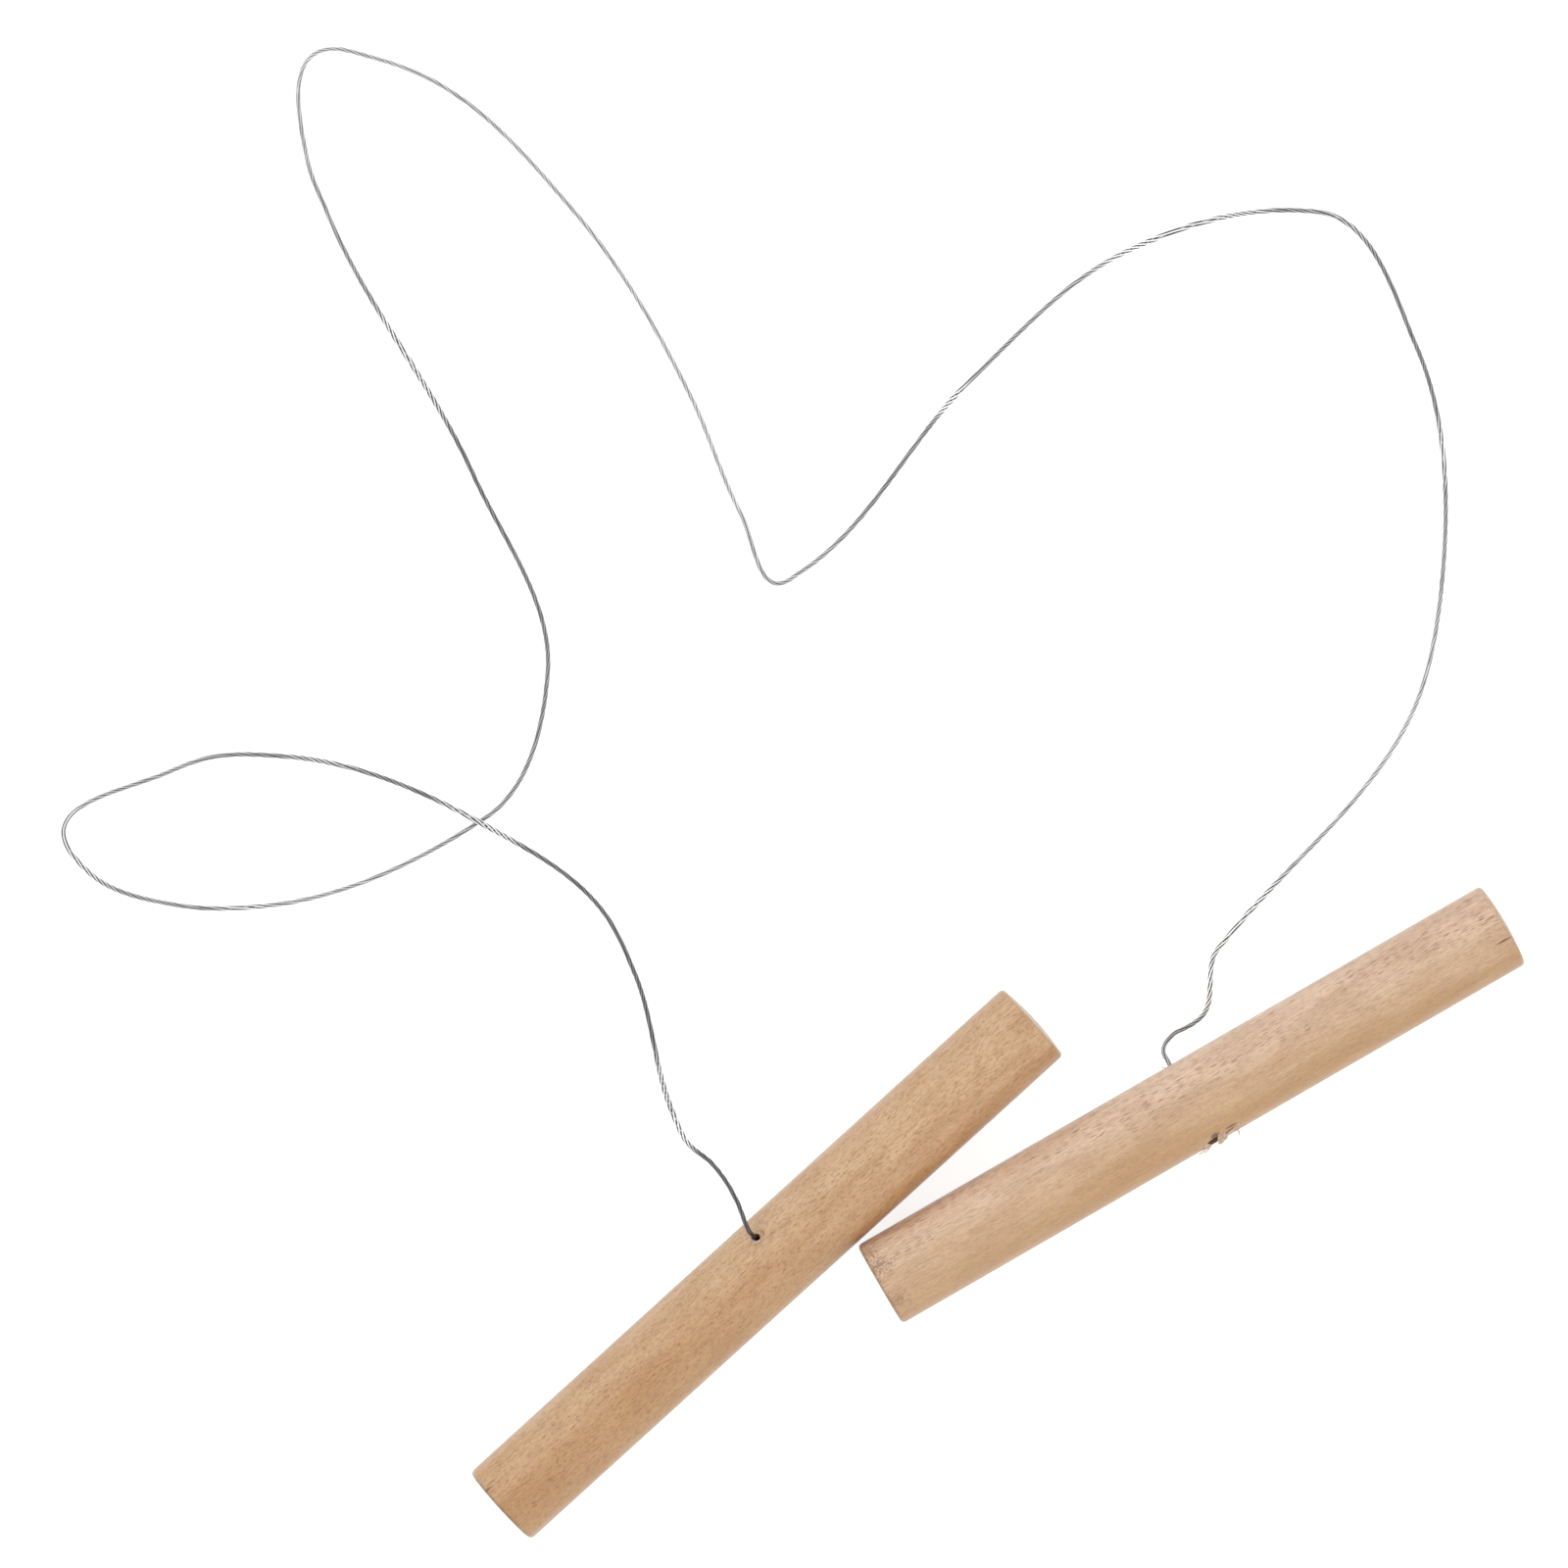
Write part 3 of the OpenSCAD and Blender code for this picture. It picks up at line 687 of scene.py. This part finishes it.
# Table: the plain white top that the tool was laid on. It isn't part of the tool, and it is
# wide enough that no edge of it comes into view.
table_size = 3.0
table_top_z = -0.02 * MM
table_mesh = bpy.data.meshes.new("table_top")
table_corners = [
    (view_middle[0] + x * table_size / 2, view_middle[1] + y * table_size / 2, table_top_z)
    for x, y in ((-1, -1), (1, -1), (1, 1), (-1, 1))
]
table_mesh.from_pydata(table_corners, [], [(0, 1, 2, 3)])
table = bpy.data.objects.new("table_top", table_mesh)
bpy.context.scene.collection.objects.link(table)


def seen_rays(tree):
    """1 for rays that show the background: straight, in a gloss or through glass."""
    light = put(tree, "ShaderNodeLightPath").outputs
    shown = sums(tree, "MAXIMUM", light["Is Camera Ray"], light["Is Glossy Ray"])
    return sums(tree, "MAXIMUM", shown, light["Is Transmission Ray"])


table_white, tree = new_material("table_white")
table_grey, table_lift = 0.62, 0.8
matt = put(tree, "ShaderNodeBsdfDiffuse", {"Color": (table_grey, table_grey, table_grey, 1.0)})
lift = put(tree, "ShaderNodeEmission", {"Strength": sums(tree, "MULTIPLY", seen_rays(tree), table_lift)})
both = put(tree, "ShaderNodeAddShader", {0: matt.outputs[0], 1: lift.outputs[0]})
put(tree, "ShaderNodeOutputMaterial", {"Surface": both.outputs[0]})
table_mesh.materials.append(table_white)

# Light: one large soft lamp from the upper left, a weaker one from the right, and an even
# white room.
for name, place, size, power in (
    ("key_lamp", (-1.1, 1.0, 1.1), 2.0, 8.5), ("fill_lamp", (1.2, -1.0, 0.9), 1.6, 6.5),
):
    lamp_data = bpy.data.lights.new(name, "AREA")
    lamp_data.size = size
    lamp_data.energy = power
    lamp = bpy.data.objects.new(name, lamp_data)
    lamp.location = place
    lamp.rotation_euler = (-Vector(place)).to_track_quat("-Z", "Y").to_euler()
    bpy.context.scene.collection.objects.link(lamp)

room_level, room_white = 0.7, 1.0
room = bpy.data.worlds.new("room")
room.use_nodes = True
tree = room.node_tree
tree.nodes.clear()
room_light = sums(tree, "MULTIPLY_ADD", seen_rays(tree), room_white - room_level, room_level)
air = put(tree, "ShaderNodeBackground", {"Color": (1.0, 1.0, 1.0, 1.0), "Strength": room_light})
put(tree, "ShaderNodeOutputWorld", {"Surface": air.outputs[0]})
bpy.context.scene.world = room
